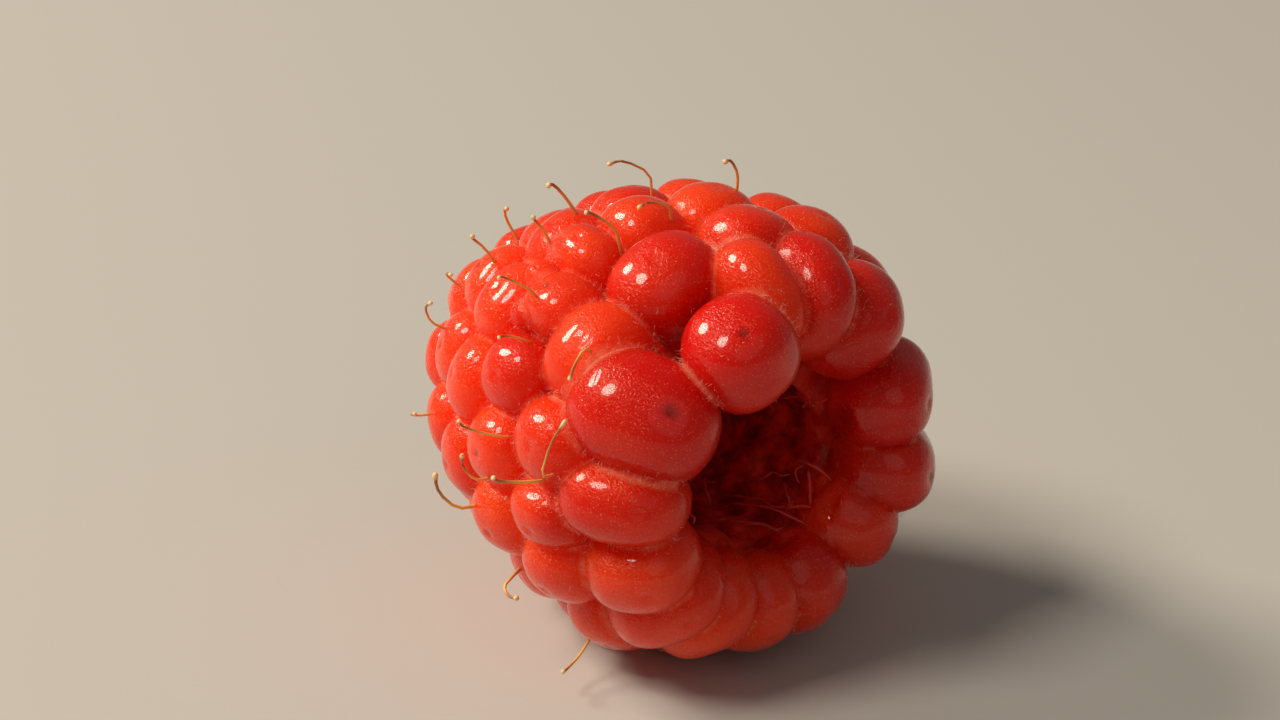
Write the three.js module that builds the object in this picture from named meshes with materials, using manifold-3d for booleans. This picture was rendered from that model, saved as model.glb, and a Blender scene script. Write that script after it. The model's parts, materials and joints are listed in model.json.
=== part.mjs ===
// A picked raspberry lying on its side: a thimble of drupelets grown together round the hollow that
// the receptacle left, with dry styles still standing on it. It grew as one piece, so it is one solid.
// Millimetres. +Z is up, +X runs along the fruit's axis to its open end, and the origin is the middle
// of the small flat spot that the fruit rests on.
import * as THREE from 'three';
import { mergeVertices } from 'three/addons/utils/BufferGeometryUtils.js';
import Module from 'manifold-3d';

const wasm = await Module();
wasm.setup();

// ---- how the fruit lies
const AXIS_HEIGHT = 9.7; // of the fruit's axis above the surface, over the origin
const TIP_RISE = 1; // degrees that the axis climbs towards the tip

// ---- the rim: its drupelets are uneven, so each has a row. Angles run round the axis, +Y to +Z
const RIM_LEAN = 35; // degrees that a rim drupelet's face turns towards the open end
const RIM = [
  { at: 16, along: 6.6, out: 6.45, long: 2.8, wide: 1.05, deep: 2.35 },
  { at: 50, along: 6.2, out: 7.0, long: 2.5, wide: 1.1, deep: 2.5 },
  { at: 73, along: 6.1, out: 7.3, long: 2.6, wide: 1.15, deep: 2.5 },
  { at: 93, along: 5.8, out: 7.3, long: 2.6, wide: 1.2, deep: 2.5 },
  { at: 113, along: 8.0, out: 6.9, long: 2.3, wide: 1.27, deep: 2.3 },
  { at: 149, along: 6.2, out: 7.3, long: 3.2, wide: 1.19, deep: 2.3 },
  { at: 177, along: 6.3, out: 7.2, long: 2.7, wide: 1.0, deep: 2.3 },
  { at: 203, along: 6.4, out: 6.9, long: 2.4, wide: 1.2, deep: 2.4 },
  { at: 224, along: 6.0, out: 6.7, long: 2.8, wide: 1.27, deep: 2.5 },
  { at: 242, along: 6.3, out: 6.45, long: 2.7, wide: 1.32, deep: 2.35 },
  { at: 262, along: 6.6, out: 6.25, long: 2.6, wide: 1.27, deep: 2.15 },
  { at: 286, along: 6.4, out: 6.3, long: 2.7, wide: 1.27, deep: 2.3 },
  { at: 320, along: 6.4, out: 6.1, long: 2.7, wide: 1.2, deep: 2.3 },
  { at: 345, along: 6.6, out: 6.75, long: 2.8, wide: 1.15, deep: 2.4 },
];

// ---- the whorls behind it, down to the tip
const evenly = (count, first) => Array.from({ length: count }, (_, i) => first + (360 * i) / count);
const WHORLS = [
  { along: 3.2, out: 8.1, long: 2.1, deep: 2.2, wide: 1.12, lean: 10,
    at: [2, 34, 58, 80, 110, 140, 166, 186, 204, 231, 257, 283, 309, 336],
    nudge: { 1: [0, 0.3], 2: [0, 0.35], 9: [0, -0.1], 10: [0, -0.4] } },
  { along: 0, out: 8.3, long: 1.9, deep: 2.0, wide: 1.12, lean: 0,
    at: [8, 29, 50, 76, 100, 117, 133, 154, 175, 196, 219, 244, 270, 294, 318, 343],
    nudge: {
      1: [0, 0.2], 2: [0, 0.4], 4: [-0.2, 0], 5: [-0.6, 0], 6: [0.3, 0], 10: [0, -0.5], 11: [0, -0.2],
    } },
  { along: -2.8, out: 7.85, long: 1.7, deep: 1.9, wide: 1.15, lean: -12, belly: 0.5, at: evenly(15, 18),
    nudge: { 3: [0, -0.2], 8: [0, -0.6], 9: [0, -0.6] } },
  { along: -5.5, out: 6.8, long: 1.6, deep: 1.8, wide: 1.15, lean: -28, at: evenly(14, 4),
    nudge: { 3: [0, -0.3], 4: [0, -0.4], 8: [0, -0.4] } },
  { along: -8.1, out: 5.3, long: 1.5, deep: 1.7, wide: 1.15, lean: -45, at: evenly(12, 18),
    nudge: { 2: [0, -0.3], 3: [0, -0.4] } },
  { along: -10.2, out: 3.4, long: 1.5, deep: 1.7, wide: 1.15, lean: -62, at: evenly(8, 0) },
  { along: -11.5, out: 1.2, long: 1.4, deep: 1.6, wide: 1.35, lean: -80, at: evenly(3, 30) },
];
const WIDEST_GAP = 80; // degrees: no drupelet spans more of its whorl than this
const DOME = 0.6; // how far outside its middle a drupelet's width is measured
// A whorl's belly is how much further out its lowest drupelets stand, where the fruit has settled. Its
// nudge says, by place in the whorl, how far a drupelet stands onward along the fruit and further out

// Drupelets that stayed small between the others
const LITTLE = [
  { at: 129, along: -1.2, out: 9.35, long: 0.75, halfWidth: 0.75, deep: 0.9, lean: 0 },
  { at: 139.5, along: -0.7, out: 9.25, long: 0.8, halfWidth: 0.65, deep: 0.85, lean: 0 },
];

const rad = THREE.MathUtils.degToRad;
const AXIAL = new THREE.Vector3(1, 0, 0);
const outward = (degrees) => new THREE.Vector3(0, Math.cos(rad(degrees)), Math.sin(rad(degrees)));
const LIE = new THREE.Matrix4()
  .makeTranslation(0, 0, AXIS_HEIGHT)
  .multiply(new THREE.Matrix4().makeRotationY(rad(TIP_RISE)));

// A point of the fruit: so far along its axis, at this angle round it, and so far out.
const pointAt = (along, degrees, out) =>
  outward(degrees).multiplyScalar(out).addScaledVector(AXIAL, along).applyMatrix4(LIE);

// The matrix that makes a drupelet of a unit ball: x along the fruit, y round it, z out of its face.
function drupeletMatrix({ along, out, at, lean, long, halfWidth, deep }) {
  const radial = outward(at);
  const tilt = rad(lean);
  const x = AXIAL.clone().multiplyScalar(Math.cos(tilt)).addScaledVector(radial, -Math.sin(tilt));
  const z = radial.clone().multiplyScalar(Math.cos(tilt)).addScaledVector(AXIAL, Math.sin(tilt));
  const y = new THREE.Vector3().crossVectors(z, x);
  return new THREE.Matrix4()
    .makeBasis(x.multiplyScalar(long), y.multiplyScalar(halfWidth), z.multiplyScalar(deep))
    .setPosition(radial.clone().multiplyScalar(out).addScaledVector(AXIAL, along))
    .premultiply(LIE);
}

// A drupelet is as wide as the room between its neighbours' middles, and a little more.
function whorlOf(members) {
  return members.map((member, i) => {
    const next = members[(i + 1) % members.length].at + (i === members.length - 1 ? 360 : 0);
    const before = members.at(i - 1).at - (i === 0 ? 360 : 0);
    const gap = Math.min((next - before) / 2, WIDEST_GAP);
    return { ...member, halfWidth: (member.out + DOME) * Math.sin(rad(gap / 2)) * member.wide };
  });
}
const whorls = [
  whorlOf(RIM.map((row) => ({ ...row, lean: RIM_LEAN }))),
  ...WHORLS.map(({ at, belly = 0, nudge = {}, ...row }) => whorlOf(at.map((degrees, place) => {
    const low = Math.max(0, -Math.sin(rad(degrees))) ** 6;
    const [onward, further] = nudge[place] ?? [0, 0];
    return { ...row, at: degrees, along: row.along + onward, out: row.out + belly * low + further };
  }))),
];

// ---- solids
const WELD = 1e-4; // corners nearer to each other than this are one corner
function solidOf(geometry) {
  const bare = geometry.index ? geometry.toNonIndexed() : geometry.clone();
  bare.deleteAttribute('normal');
  bare.deleteAttribute('uv');
  const merged = mergeVertices(bare, WELD);
  return new wasm.Manifold(
    new wasm.Mesh({
      numProp: 3,
      vertProperties: merged.attributes.position.array,
      triVerts: new Uint32Array(merged.index.array),
    }),
  );
}

// Moves every vertex of a geometry by a rule.
function reshape(geometry, rule) {
  const place = geometry.attributes.position;
  const vertex = new THREE.Vector3();
  for (let i = 0; i < place.count; i += 1) {
    rule(vertex.fromBufferAttribute(place, i));
    place.setXYZ(i, vertex.x, vertex.y, vertex.z);
  }
  return geometry;
}

// A turned body about the fruit's axis, from [out, along] pairs.
const turned = (profile, sides) =>
  new THREE.LatheGeometry(profile.map(([out, along]) => new THREE.Vector2(out, along)), sides)
    .rotateZ(-Math.PI / 2);

// The flesh that the drupelets stand in fills the pits where three of them meet.
const FLESH = [
  [0, -11.6], [2.6, -10.9], [5.3, -8.7], [7.2, -6], [8.3, -3], [8.8, 0], [8.5, 3.2], [7.1, 4.8],
  [5.2, 5.6], [0, 5.6],
];
const FLESH_SIDES = 16;
let berry = solidOf(turned(FLESH, FLESH_SIDES).applyMatrix4(LIE));

// A drupelet is a slightly squared ball, pressed full by its neighbours. A faceted one is drawn a
// little large, so that it fills as much room as a round one.
const FULLNESS = 2.35; // 2 is a plain ball
const FACET_SWELL = 1.02;
const fullBall = reshape(new THREE.IcosahedronGeometry(1, 1), (v) => {
  const power = Math.abs(v.x) ** FULLNESS + Math.abs(v.y) ** FULLNESS + Math.abs(v.z) ** FULLNESS;
  v.multiplyScalar(FACET_SWELL / power ** (1 / FULLNESS));
});
for (const drupelet of [...whorls.flat(), ...LITTLE]) {
  berry = berry.add(solidOf(fullBall.clone().applyMatrix4(drupeletMatrix(drupelet))));
}

// ---- the hollow: a blunt bore whose wall swells between the backs of the drupelets
const BORE = [
  [0, -5.6], [1.5, -5.2], [2.6, -4.2], [3.2, -2.9], [3.6, -1.5], [3.8, 0], [3.9, 1.5], [4, 3],
  [4, 4.5], [3.9, 6], [3.8, 7.5], [3.8, 9], [3.8, 14], [0, 14],
];
const BORE_SIDES = 36;
const WALL_RELIEF = 0.25; // height of the swellings
const WALL_FROM = 3.8; // radius of the bore where the swellings have their full height
const WALL_BUMPS = 9; // swellings in a ring
const WALL_RING = 3; // from one ring of swellings to the next
const bore = reshape(turned(BORE, BORE_SIDES), (v) => {
  const angle = Math.atan2(v.z, v.y);
  const out = Math.hypot(v.y, v.z);
  const fade = Math.min(1, out / WALL_FROM) ** 2;
  const swell = WALL_RELIEF * fade * Math.cos(WALL_BUMPS * angle) * Math.cos((Math.PI * v.x) / WALL_RING);
  v.set(v.x, (out + swell) * Math.cos(angle), (out + swell) * Math.sin(angle));
});
berry = berry.subtract(solidOf(bore.applyMatrix4(LIE)));

// ---- the styles: dry threads, each sunk in a drupelet and bent over towards its free end
const STYLE_ROOT = 0.13; // radius where it leaves the drupelet
const STYLE_END = 0.1; // radius at the free end
const STYLE_SUNK = 0.8; // length of root inside the drupelet
const STYLE_SIDES = 3;
const STYLE_STEPS = 2; // along its length
const KNEE = 0.4; // of its length: how far a style stands straight out before it bends
const FOOT = 0.5; // of its station along the axis: where a style points back to
function styleSolid(root, end) {
  const normal = root.clone().sub(new THREE.Vector3(root.x * FOOT, 0, AXIS_HEIGHT)).normalize();
  const start = root.clone().addScaledVector(normal, -STYLE_SUNK);
  const knee = root.clone().addScaledVector(normal, root.distanceTo(end) * KNEE);
  const curve = new THREE.QuadraticBezierCurve3(start, knee, end);
  const side = new THREE.Vector3().crossVectors(normal, AXIAL).normalize();
  const rod = new THREE.CylinderGeometry(STYLE_END, STYLE_ROOT, 1, STYLE_SIDES, STYLE_STEPS);
  reshape(rod, (v) => {
    const t = v.y + 0.5;
    const tangent = curve.getTangent(t);
    const first = new THREE.Vector3().crossVectors(tangent, side).normalize();
    const second = new THREE.Vector3().crossVectors(first, tangent).normalize();
    const { x, z } = v;
    v.copy(curve.getPoint(t)).addScaledVector(first, x).addScaledVector(second, z);
  });
  return solidOf(rod);
}

// Styles on the side that catches the light: root along, round and out, then end along, round and out
const STYLES = [
  [-1.9, 88, 9.4, -2.3, 99, 11.3],
  [0.4, 72, 10.2, 0.9, 80, 11.6],
  [-2.6, 109, 9.5, -2.4, 114, 11.9],
  [-8.0, 112, 6.8, -7.1, 114, 8.8],
  [-2.3, 120, 9.4, -1.9, 121, 11.5],
  [1.0, 112, 9.5, 0.8, 116, 12.0],
  [1.2, 96, 9.6, 1.2, 105, 10.9],
  [0.2, 135, 10.2, 0.4, 137, 12.8],
  [-5.3, 130, 8.5, -4.9, 130, 10.8],
  [-8.3, 140, 6.9, -7.5, 139, 8.3],
  [-6.3, 154, 8.3, -5.8, 148, 10.0],
  [0.5, 145, 9.6, 1.0, 147, 11.7],
  [1.2, 169, 9.5, 0.9, 165, 12.2],
  [0.5, 181, 9.9, 0.6, 173, 11.5],
  [4.0, 174, 9.6, 4.1, 171, 12.5],
  [-0.6, 191, 10.0, -1.0, 180, 11.7],
  [-5.9, 180, 8.5, -5.1, 176, 9.9],
  [3.0, 230, 10.0, 4.1, 223, 12.0],
  [0.0, 213, 10.1, 1.4, 212, 10.8],
  [4.4, 140, 9.9, 5.0, 148, 10.8],
  [4.6, 171, 9.7, 5.4, 156, 10.5],
];
for (const [along, at, out, toAlong, toAt, toOut] of STYLES) {
  berry = berry.add(styleSolid(pointAt(along, at, out), pointAt(toAlong, toAt, toOut)));
}

// Elsewhere more than half of the drupelets have kept theirs, drawn by a fixed hash
const LIT_SIDE = [25, 236]; // degrees round the axis that the rows above cover, forward of the tip
const LIT_FROM = -11; // along the axis
const KEPT = 0.62;
const CLEARANCE = 0.6; // no style comes nearer to the surface than this
const ROOTED = 0.97; // of a drupelet's depth: where its style leaves it
const STYLE_LENGTH = [1.5, 2.8];
const STYLE_BOW = [14, 43]; // degrees that a style leans from its drupelet's face towards the tip
const STYLE_SWAY = [-1.5, 1.5]; // how far round the axis its free end stands
const hash = (index, salt) => {
  const wave = Math.sin(index * 12.9898 + salt * 78.233) * 43758.5453;
  return wave - Math.floor(wave);
};
const between = ([low, high], share) => low + (high - low) * share;
whorls.slice(1).flat().forEach((drupelet, index) => {
  const lit = drupelet.along > LIT_FROM && drupelet.at > LIT_SIDE[0] && drupelet.at < LIT_SIDE[1];
  if (lit || hash(index, 1) > KEPT) return;
  const face = drupelet.deep * ROOTED;
  const tilt = rad(drupelet.lean);
  const rootAlong = drupelet.along + face * Math.sin(tilt);
  const rootOut = drupelet.out + face * Math.cos(tilt);
  const length = between(STYLE_LENGTH, hash(index, 2));
  const bow = tilt - rad(between(STYLE_BOW, hash(index, 3)));
  const sway = THREE.MathUtils.radToDeg(between(STYLE_SWAY, hash(index, 4)) / rootOut);
  const root = pointAt(rootAlong, drupelet.at, rootOut);
  const endAlong = rootAlong + length * Math.sin(bow);
  const end = pointAt(endAlong, drupelet.at + sway, rootOut + length * Math.cos(bow));
  if (Math.min(root.z, end.z) < CLEARANCE) return;
  berry = berry.add(styleSolid(root, end));
});

// ---- the lowest drupelets are pressed flat where they touch the surface
const BELOW = { wide: 60, deep: 10 };
const below = new THREE.BoxGeometry(BELOW.wide, BELOW.wide, BELOW.deep).translate(0, 0, -BELOW.deep / 2);
berry = berry.subtract(solidOf(below));

const mesh = berry.getMesh();
const geometry = new THREE.BufferGeometry()
  .setAttribute('position', new THREE.BufferAttribute(new Float32Array(mesh.vertProperties), 3))
  .setIndex(new THREE.BufferAttribute(new Uint32Array(mesh.triVerts), 1));
const skin = new THREE.MeshStandardMaterial({ color: 0xc8191a, roughness: 0.4 });
const fruit = new THREE.Mesh(geometry, skin);
fruit.name = 'berry';

const group = new THREE.Group();
group.add(fruit);
export default group;
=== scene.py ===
# A picked raspberry lying on its side: glossy red drupelets grown together round the hollow that the
# receptacle left, dry golden styles standing on them, and fine pale down in the grooves between them.
# Metres. +Z is up, +X runs along the fruit's axis to its open end, and the origin is under its middle.
import json
import math

import bpy
import numpy as np
from mathutils import Matrix, Vector

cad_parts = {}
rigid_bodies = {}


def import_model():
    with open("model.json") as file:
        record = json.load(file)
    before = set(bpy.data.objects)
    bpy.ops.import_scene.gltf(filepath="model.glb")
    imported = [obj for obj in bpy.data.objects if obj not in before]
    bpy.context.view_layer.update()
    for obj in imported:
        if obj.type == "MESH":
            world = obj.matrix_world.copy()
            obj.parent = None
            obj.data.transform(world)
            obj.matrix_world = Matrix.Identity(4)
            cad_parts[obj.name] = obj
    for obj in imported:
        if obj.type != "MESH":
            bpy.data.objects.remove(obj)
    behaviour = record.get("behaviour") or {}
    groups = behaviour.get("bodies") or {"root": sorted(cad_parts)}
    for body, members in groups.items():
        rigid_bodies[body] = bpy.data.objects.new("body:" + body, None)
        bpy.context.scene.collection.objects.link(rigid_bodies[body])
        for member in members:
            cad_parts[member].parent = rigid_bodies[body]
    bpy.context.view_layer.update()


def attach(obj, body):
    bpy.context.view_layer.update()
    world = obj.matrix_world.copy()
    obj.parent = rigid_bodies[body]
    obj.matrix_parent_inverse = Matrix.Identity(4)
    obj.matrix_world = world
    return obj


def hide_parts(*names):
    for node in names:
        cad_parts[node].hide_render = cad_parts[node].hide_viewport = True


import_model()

MM = 0.001

# ---- how the fruit lies, and its drupelets: the same named sizes as the solid, in millimetres
AXIS_HEIGHT = 9.7  # of the fruit's axis above the surface, over the origin
TIP_RISE = 1.0  # degrees that the axis climbs towards the tip
RIM_LEAN = 35  # degrees that a rim drupelet's face turns towards the open end
# Each row of the rim: angle round the axis, along it, out from it, then half length, width and depth
RIM = [
    (16, 6.6, 6.45, 2.8, 1.05, 2.35),
    (50, 6.2, 7.0, 2.5, 1.1, 2.5),
    (73, 6.1, 7.3, 2.6, 1.15, 2.5),
    (93, 5.8, 7.3, 2.6, 1.2, 2.5),
    (113, 8.0, 6.9, 2.3, 1.27, 2.3),
    (149, 6.2, 7.3, 3.2, 1.19, 2.3),
    (177, 6.3, 7.2, 2.7, 1.0, 2.3),
    (203, 6.4, 6.9, 2.4, 1.2, 2.4),
    (224, 6.0, 6.7, 2.8, 1.27, 2.5),
    (242, 6.3, 6.45, 2.7, 1.32, 2.35),
    (262, 6.6, 6.25, 2.6, 1.27, 2.15),
    (286, 6.4, 6.3, 2.7, 1.27, 2.3),
    (320, 6.4, 6.1, 2.7, 1.2, 2.3),
    (345, 6.6, 6.75, 2.8, 1.15, 2.4),
]


def evenly(count, first):
    return [first + 360 * step / count for step in range(count)]


# Each whorl: along, out, half length, depth, width, lean, how far its lowest drupelets settle, angles,
# and by place in the whorl how far a drupelet stands onward along the fruit and further out
WHORLS = [
    (3.2, 8.1, 2.1, 2.2, 1.12, 10, 0, [2, 34, 58, 80, 110, 140, 166, 186, 204, 231, 257, 283, 309, 336],
     {1: (0, 0.3), 2: (0, 0.35), 9: (0, -0.1), 10: (0, -0.4)}),
    (0.0, 8.3, 1.9, 2.0, 1.12, 0, 0,
     [8, 29, 50, 76, 100, 117, 133, 154, 175, 196, 219, 244, 270, 294, 318, 343],
     {1: (0, 0.2), 2: (0, 0.4), 4: (-0.2, 0), 5: (-0.6, 0), 6: (0.3, 0), 10: (0, -0.5), 11: (0, -0.2)}),
    (-2.8, 7.85, 1.7, 1.9, 1.15, -12, 0.5, evenly(15, 18), {3: (0, -0.2), 8: (0, -0.6), 9: (0, -0.6)}),
    (-5.5, 6.8, 1.6, 1.8, 1.15, -28, 0, evenly(14, 4), {3: (0, -0.3), 4: (0, -0.4), 8: (0, -0.4)}),
    (-8.1, 5.3, 1.5, 1.7, 1.15, -45, 0, evenly(12, 18), {2: (0, -0.3), 3: (0, -0.4)}),
    (-10.2, 3.4, 1.5, 1.7, 1.15, -62, 0, evenly(8, 0), {}),
    (-11.5, 1.2, 1.4, 1.6, 1.35, -80, 0, evenly(3, 30), {}),
]
# Drupelets that stayed small between the others: angle, along, out, half length, width and depth
LITTLE = [
    (129, -1.2, 9.35, 0.75, 0.75, 0.9),
    (139.5, -0.7, 9.25, 0.8, 0.65, 0.85),
]
WIDEST_GAP = 80  # degrees: the most of its whorl that a drupelet's width is worked out from
DOME = 0.6  # how far outside its middle a drupelet's width is measured

LIE = Matrix.Translation((0, 0, AXIS_HEIGHT)) @ Matrix.Rotation(math.radians(TIP_RISE), 4, "Y")
AXIAL = Vector((1, 0, 0))


def outward(degrees):
    return Vector((0, math.cos(math.radians(degrees)), math.sin(math.radians(degrees))))


def point_at(along, degrees, out):
    return LIE @ (AXIAL * along + outward(degrees) * out)


def drupelet_rows():
    """Every drupelet as (along, out, angle, lean, half length, half width, depth), whorl by whorl."""
    whorls = [[(along, out, at, RIM_LEAN, long, wide, deep) for at, along, out, long, wide, deep in RIM]]
    for along, out, long, deep, wide, lean, belly, angles, nudges in WHORLS:
        row = []
        for place, at in enumerate(angles):
            low = max(0.0, -math.sin(math.radians(at))) ** 6
            onward, further = nudges.get(place, (0, 0))
            row.append((along + onward, out + belly * low + further, at, lean, long, wide, deep))
        whorls.append(row)
    rows = []
    for row in whorls:
        for i, (along, out, at, lean, long, wide, deep) in enumerate(row):
            after = row[(i + 1) % len(row)][2] + (360 if i == len(row) - 1 else 0)
            before = row[i - 1][2] - (360 if i == 0 else 0)
            gap = min((after - before) / 2, WIDEST_GAP)
            half_width = (out + DOME) * math.sin(math.radians(gap / 2)) * wide
            rows.append((along, out, at, lean, long, half_width, deep))
    for at, along, out, long, half_width, deep in LITTLE:
        rows.append((along, out, at, 0, long, half_width, deep))
    return rows


def drupelet_matrix(row):
    along, out, at, lean, long, half_width, deep = row
    radial = outward(at)
    tilt = math.radians(lean)
    x = AXIAL * math.cos(tilt) - radial * math.sin(tilt)
    z = radial * math.cos(tilt) + AXIAL * math.sin(tilt)
    y = z.cross(x)
    turn = Matrix((x * long, y * half_width, z * deep)).transposed().to_4x4()
    return LIE @ Matrix.Translation(AXIAL * along + radial * out) @ turn


DRUPELETS = drupelet_rows()
RIM_COUNT = len(RIM)


def hashed(index, salt):
    wave = math.sin(index * 12.9898 + salt * 78.233) * 43758.5453
    return wave - math.floor(wave)


def between(span, share):
    return span[0] + (span[1] - span[0]) * share


def ramp(value, start, span):
    """0 up to the start, 1 from a span further on, and straight between them."""
    return np.clip((value - start) / span, 0, 1)


# ---- small helpers of the workshop
def bare_hands():
    """Leaves edit mode and lets go of everything."""
    if bpy.context.object and bpy.context.object.mode != "OBJECT":
        bpy.ops.object.mode_set(mode="OBJECT")
    bpy.ops.object.select_all(action="DESELECT")


def take(piece):
    bare_hands()
    piece.select_set(True)
    bpy.context.view_layer.objects.active = piece


def edit(piece):
    take(piece)
    bpy.ops.object.mode_set(mode="EDIT")
    bpy.ops.mesh.select_mode(type="VERT")


def done():
    bpy.ops.object.mode_set(mode="OBJECT")


def named(name):
    piece = bpy.context.object
    piece.name = name
    piece.data.name = name
    return piece


def apply_modifier(piece, modifier):
    take(piece)
    bpy.ops.object.modifier_apply(modifier=modifier.name)


def turned(name, profile, sides):
    """A closed turned body about X: a disc is drawn out ring by ring along [out, along] pairs."""
    bare_hands()
    first_out, first_along = profile[0]
    bpy.ops.mesh.primitive_circle_add(
        vertices=sides, radius=first_out, fill_type="NGON", location=(0, 0, first_along)
    )
    piece = named(name)
    edit(piece)
    bpy.ops.mesh.select_all(action="SELECT")
    previous = first_out
    height = first_along
    for out, along in profile[1:]:
        bpy.ops.mesh.extrude_region_move(TRANSFORM_OT_translate={"value": (0, 0, along - height)})
        bpy.ops.transform.resize(value=(out / previous, out / previous, 1), center_override=(0, 0, along))
        previous = out
        height = along
    bpy.ops.mesh.select_all(action="SELECT")
    bpy.ops.mesh.normals_make_consistent(inside=False)
    done()
    take(piece)
    bpy.ops.object.transform_apply(location=True, rotation=True, scale=True)
    piece.data.transform(Matrix.Rotation(math.pi / 2, 4, "Y"))
    return piece


# ---- one drupelet, shaped once for the rim and once for the rest
FULLNESS = 2.35  # 2 is a plain ball, and more fills out towards the neighbours
DIMPLE_DEEP = 0.045  # the dimple where its style stood, as a share of its size
DIMPLE_WIDE = 0.2
RIM_CUTS = 3  # how finely the ball of a large rim drupelet is cut up
PLAIN_CUTS = 2
FACE_SCAR = Vector((0, 0, 1))
RIM_SCAR = Vector((0.43, 0, 0.90))  # on the rim the styles stood nearer the open end


def model_drupelet(name, cuts, scar):
    """A full, slightly squared ball with a dimple at its scar."""
    bare_hands()
    bpy.ops.mesh.primitive_ico_sphere_add(subdivisions=3, radius=1, location=(0, 0, 0))
    piece = named(name)
    edit(piece)
    bpy.ops.mesh.select_all(action="SELECT")
    bpy.ops.mesh.subdivide(number_cuts=cuts)
    bpy.ops.transform.tosphere(value=1)
    bpy.ops.mesh.select_all(action="DESELECT")
    done()
    for vertex in piece.data.vertices:
        swell = sum(abs(part) ** FULLNESS for part in vertex.co) ** (-1 / FULLNESS)
        vertex.co = vertex.co.copy() * swell
    heart = min(piece.data.vertices, key=lambda vertex: (vertex.co - scar).length)
    heart.select = True
    edit(piece)
    bpy.ops.transform.translate(
        value=-scar * DIMPLE_DEEP,
        use_proportional_edit=True,
        proportional_edit_falloff="SMOOTH",
        proportional_size=DIMPLE_WIDE,
    )
    done()
    return piece


SCAR_TURNS = {4: (7, -24), 5: (-20, -2)}  # two rim drupelets by the mouth, by number
SCAR_STRAY = 24  # degrees: the others' scars are drawn within half of this


def scar_turn(number):
    """A small turn, across and along the fruit, that sets a drupelet's scar off its middle."""
    drawn = (SCAR_STRAY * (hashed(number, 31) - 0.5), SCAR_STRAY * (hashed(number, 32) - 0.5))
    across, along = SCAR_TURNS.get(number, drawn)
    return Matrix.Rotation(math.radians(across), 4, "X") @ Matrix.Rotation(math.radians(along), 4, "Y")


rim_drupelet = model_drupelet("rim_drupelet", RIM_CUTS, RIM_SCAR)
plain_drupelet = model_drupelet("plain_drupelet", PLAIN_CUTS, FACE_SCAR)

heap = bpy.data.collections.new("drupelet_heap")
bpy.context.scene.collection.children.link(heap)
for number, row in enumerate(DRUPELETS):
    pattern = rim_drupelet if number < RIM_COUNT else plain_drupelet
    body = bpy.data.objects.new(f"drupelet_{number}", pattern.data.copy())
    body.data.transform(drupelet_matrix(row) @ scar_turn(number))
    heap.objects.link(body)

# ---- the flesh that they stand in, joined with them, then the hollow and the flat spots cut
FLESH = [
    (0.3, -11.4), (2.5, -10.7), (5.1, -8.6), (7.0, -6.0), (8.05, -3.0), (8.5, 0.0), (8.2, 3.0), (6.9, 4.6),
    (5.0, 5.4), (0.3, 5.4),
]
BORE = [
    (0.2, -5.6), (1.5, -5.2), (2.6, -4.2), (3.2, -2.9), (3.6, -1.5), (3.8, 0), (3.9, 1.5), (4.0, 3.0),
    (4.0, 4.5), (3.9, 6.0), (3.8, 7.5), (3.8, 9.0), (3.8, 14.0), (0.3, 14.0),
]
FLESH_SIDES = 40
BORE_SIDES = 160
BORE_STEP = 0.17  # from one ring of the bore to the next, along its wall
WALL_POINTS = 12  # how many of the bore's points, from the first, are on that wall
WALL_FADE = (9.5, -3.0)  # along the axis, where the wall's folds start and how soon they are full
WALL_HEART = 2.5  # out from the axis, where they are full
BACK_SIZE = 2.3  # of the drupelets' backs on the wall of the hollow
BACK_RISE = 1.0
BACK_LEVEL = 0.42  # the level of the pattern at which the wall stays where it is
FOLD_SIZE = 1.5  # of the torn folds between them
FOLD_RISE = 0.55
FOLD_LEVEL = 0.6
LUMP_SIZE = 2.6  # of the unevenness of each drupelet
LUMP_RISE = 0.16
LUMP_LEVEL = 0.5


def finer(profile, step):
    """The same profile with more rings, rounded between its points by a smooth curve."""
    ring = []
    for i in range(len(profile) - 1):
        before = Vector(profile[max(i - 1, 0)])
        start = Vector(profile[i])
        end = Vector(profile[i + 1])
        after = Vector(profile[min(i + 2, len(profile) - 1)])
        count = max(1, round((end - start).length / step))
        for k in range(count):
            t = k / count
            square = 2 * before - 5 * start + 4 * end - after
            cube = 3 * start - before - 3 * end + after
            point = 0.5 * (2 * start + (end - before) * t + square * t * t + cube * t ** 3)
            ring.append((point.x, point.y))
    ring.append(profile[-1])
    return ring


def join_drupelets():
    fruit = turned("drupelets", FLESH, FLESH_SIDES)
    fruit.data.transform(LIE)
    union = fruit.modifiers.new("grown_together", "BOOLEAN")
    union.operation = "UNION"
    union.operand_type = "COLLECTION"
    union.collection = heap
    union.solver = "MANIFOLD"
    apply_modifier(fruit, union)
    for body in list(heap.objects):
        bpy.data.objects.remove(body, do_unlink=True)
    bpy.data.collections.remove(heap)
    return fruit


def displaced(piece, name, kind, size, rise, level, group="", **settings):
    """Pushes a piece's skin in and out by a solid pattern of this size."""
    pattern = bpy.data.textures.new(name, kind)
    pattern.noise_scale = size
    for key, value in settings.items():
        setattr(pattern, key, value)
    push = piece.modifiers.new(name, "DISPLACE")
    push.texture = pattern
    push.strength = rise
    push.mid_level = level
    push.vertex_group = group
    apply_modifier(piece, push)
    bpy.data.textures.remove(pattern)


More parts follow.
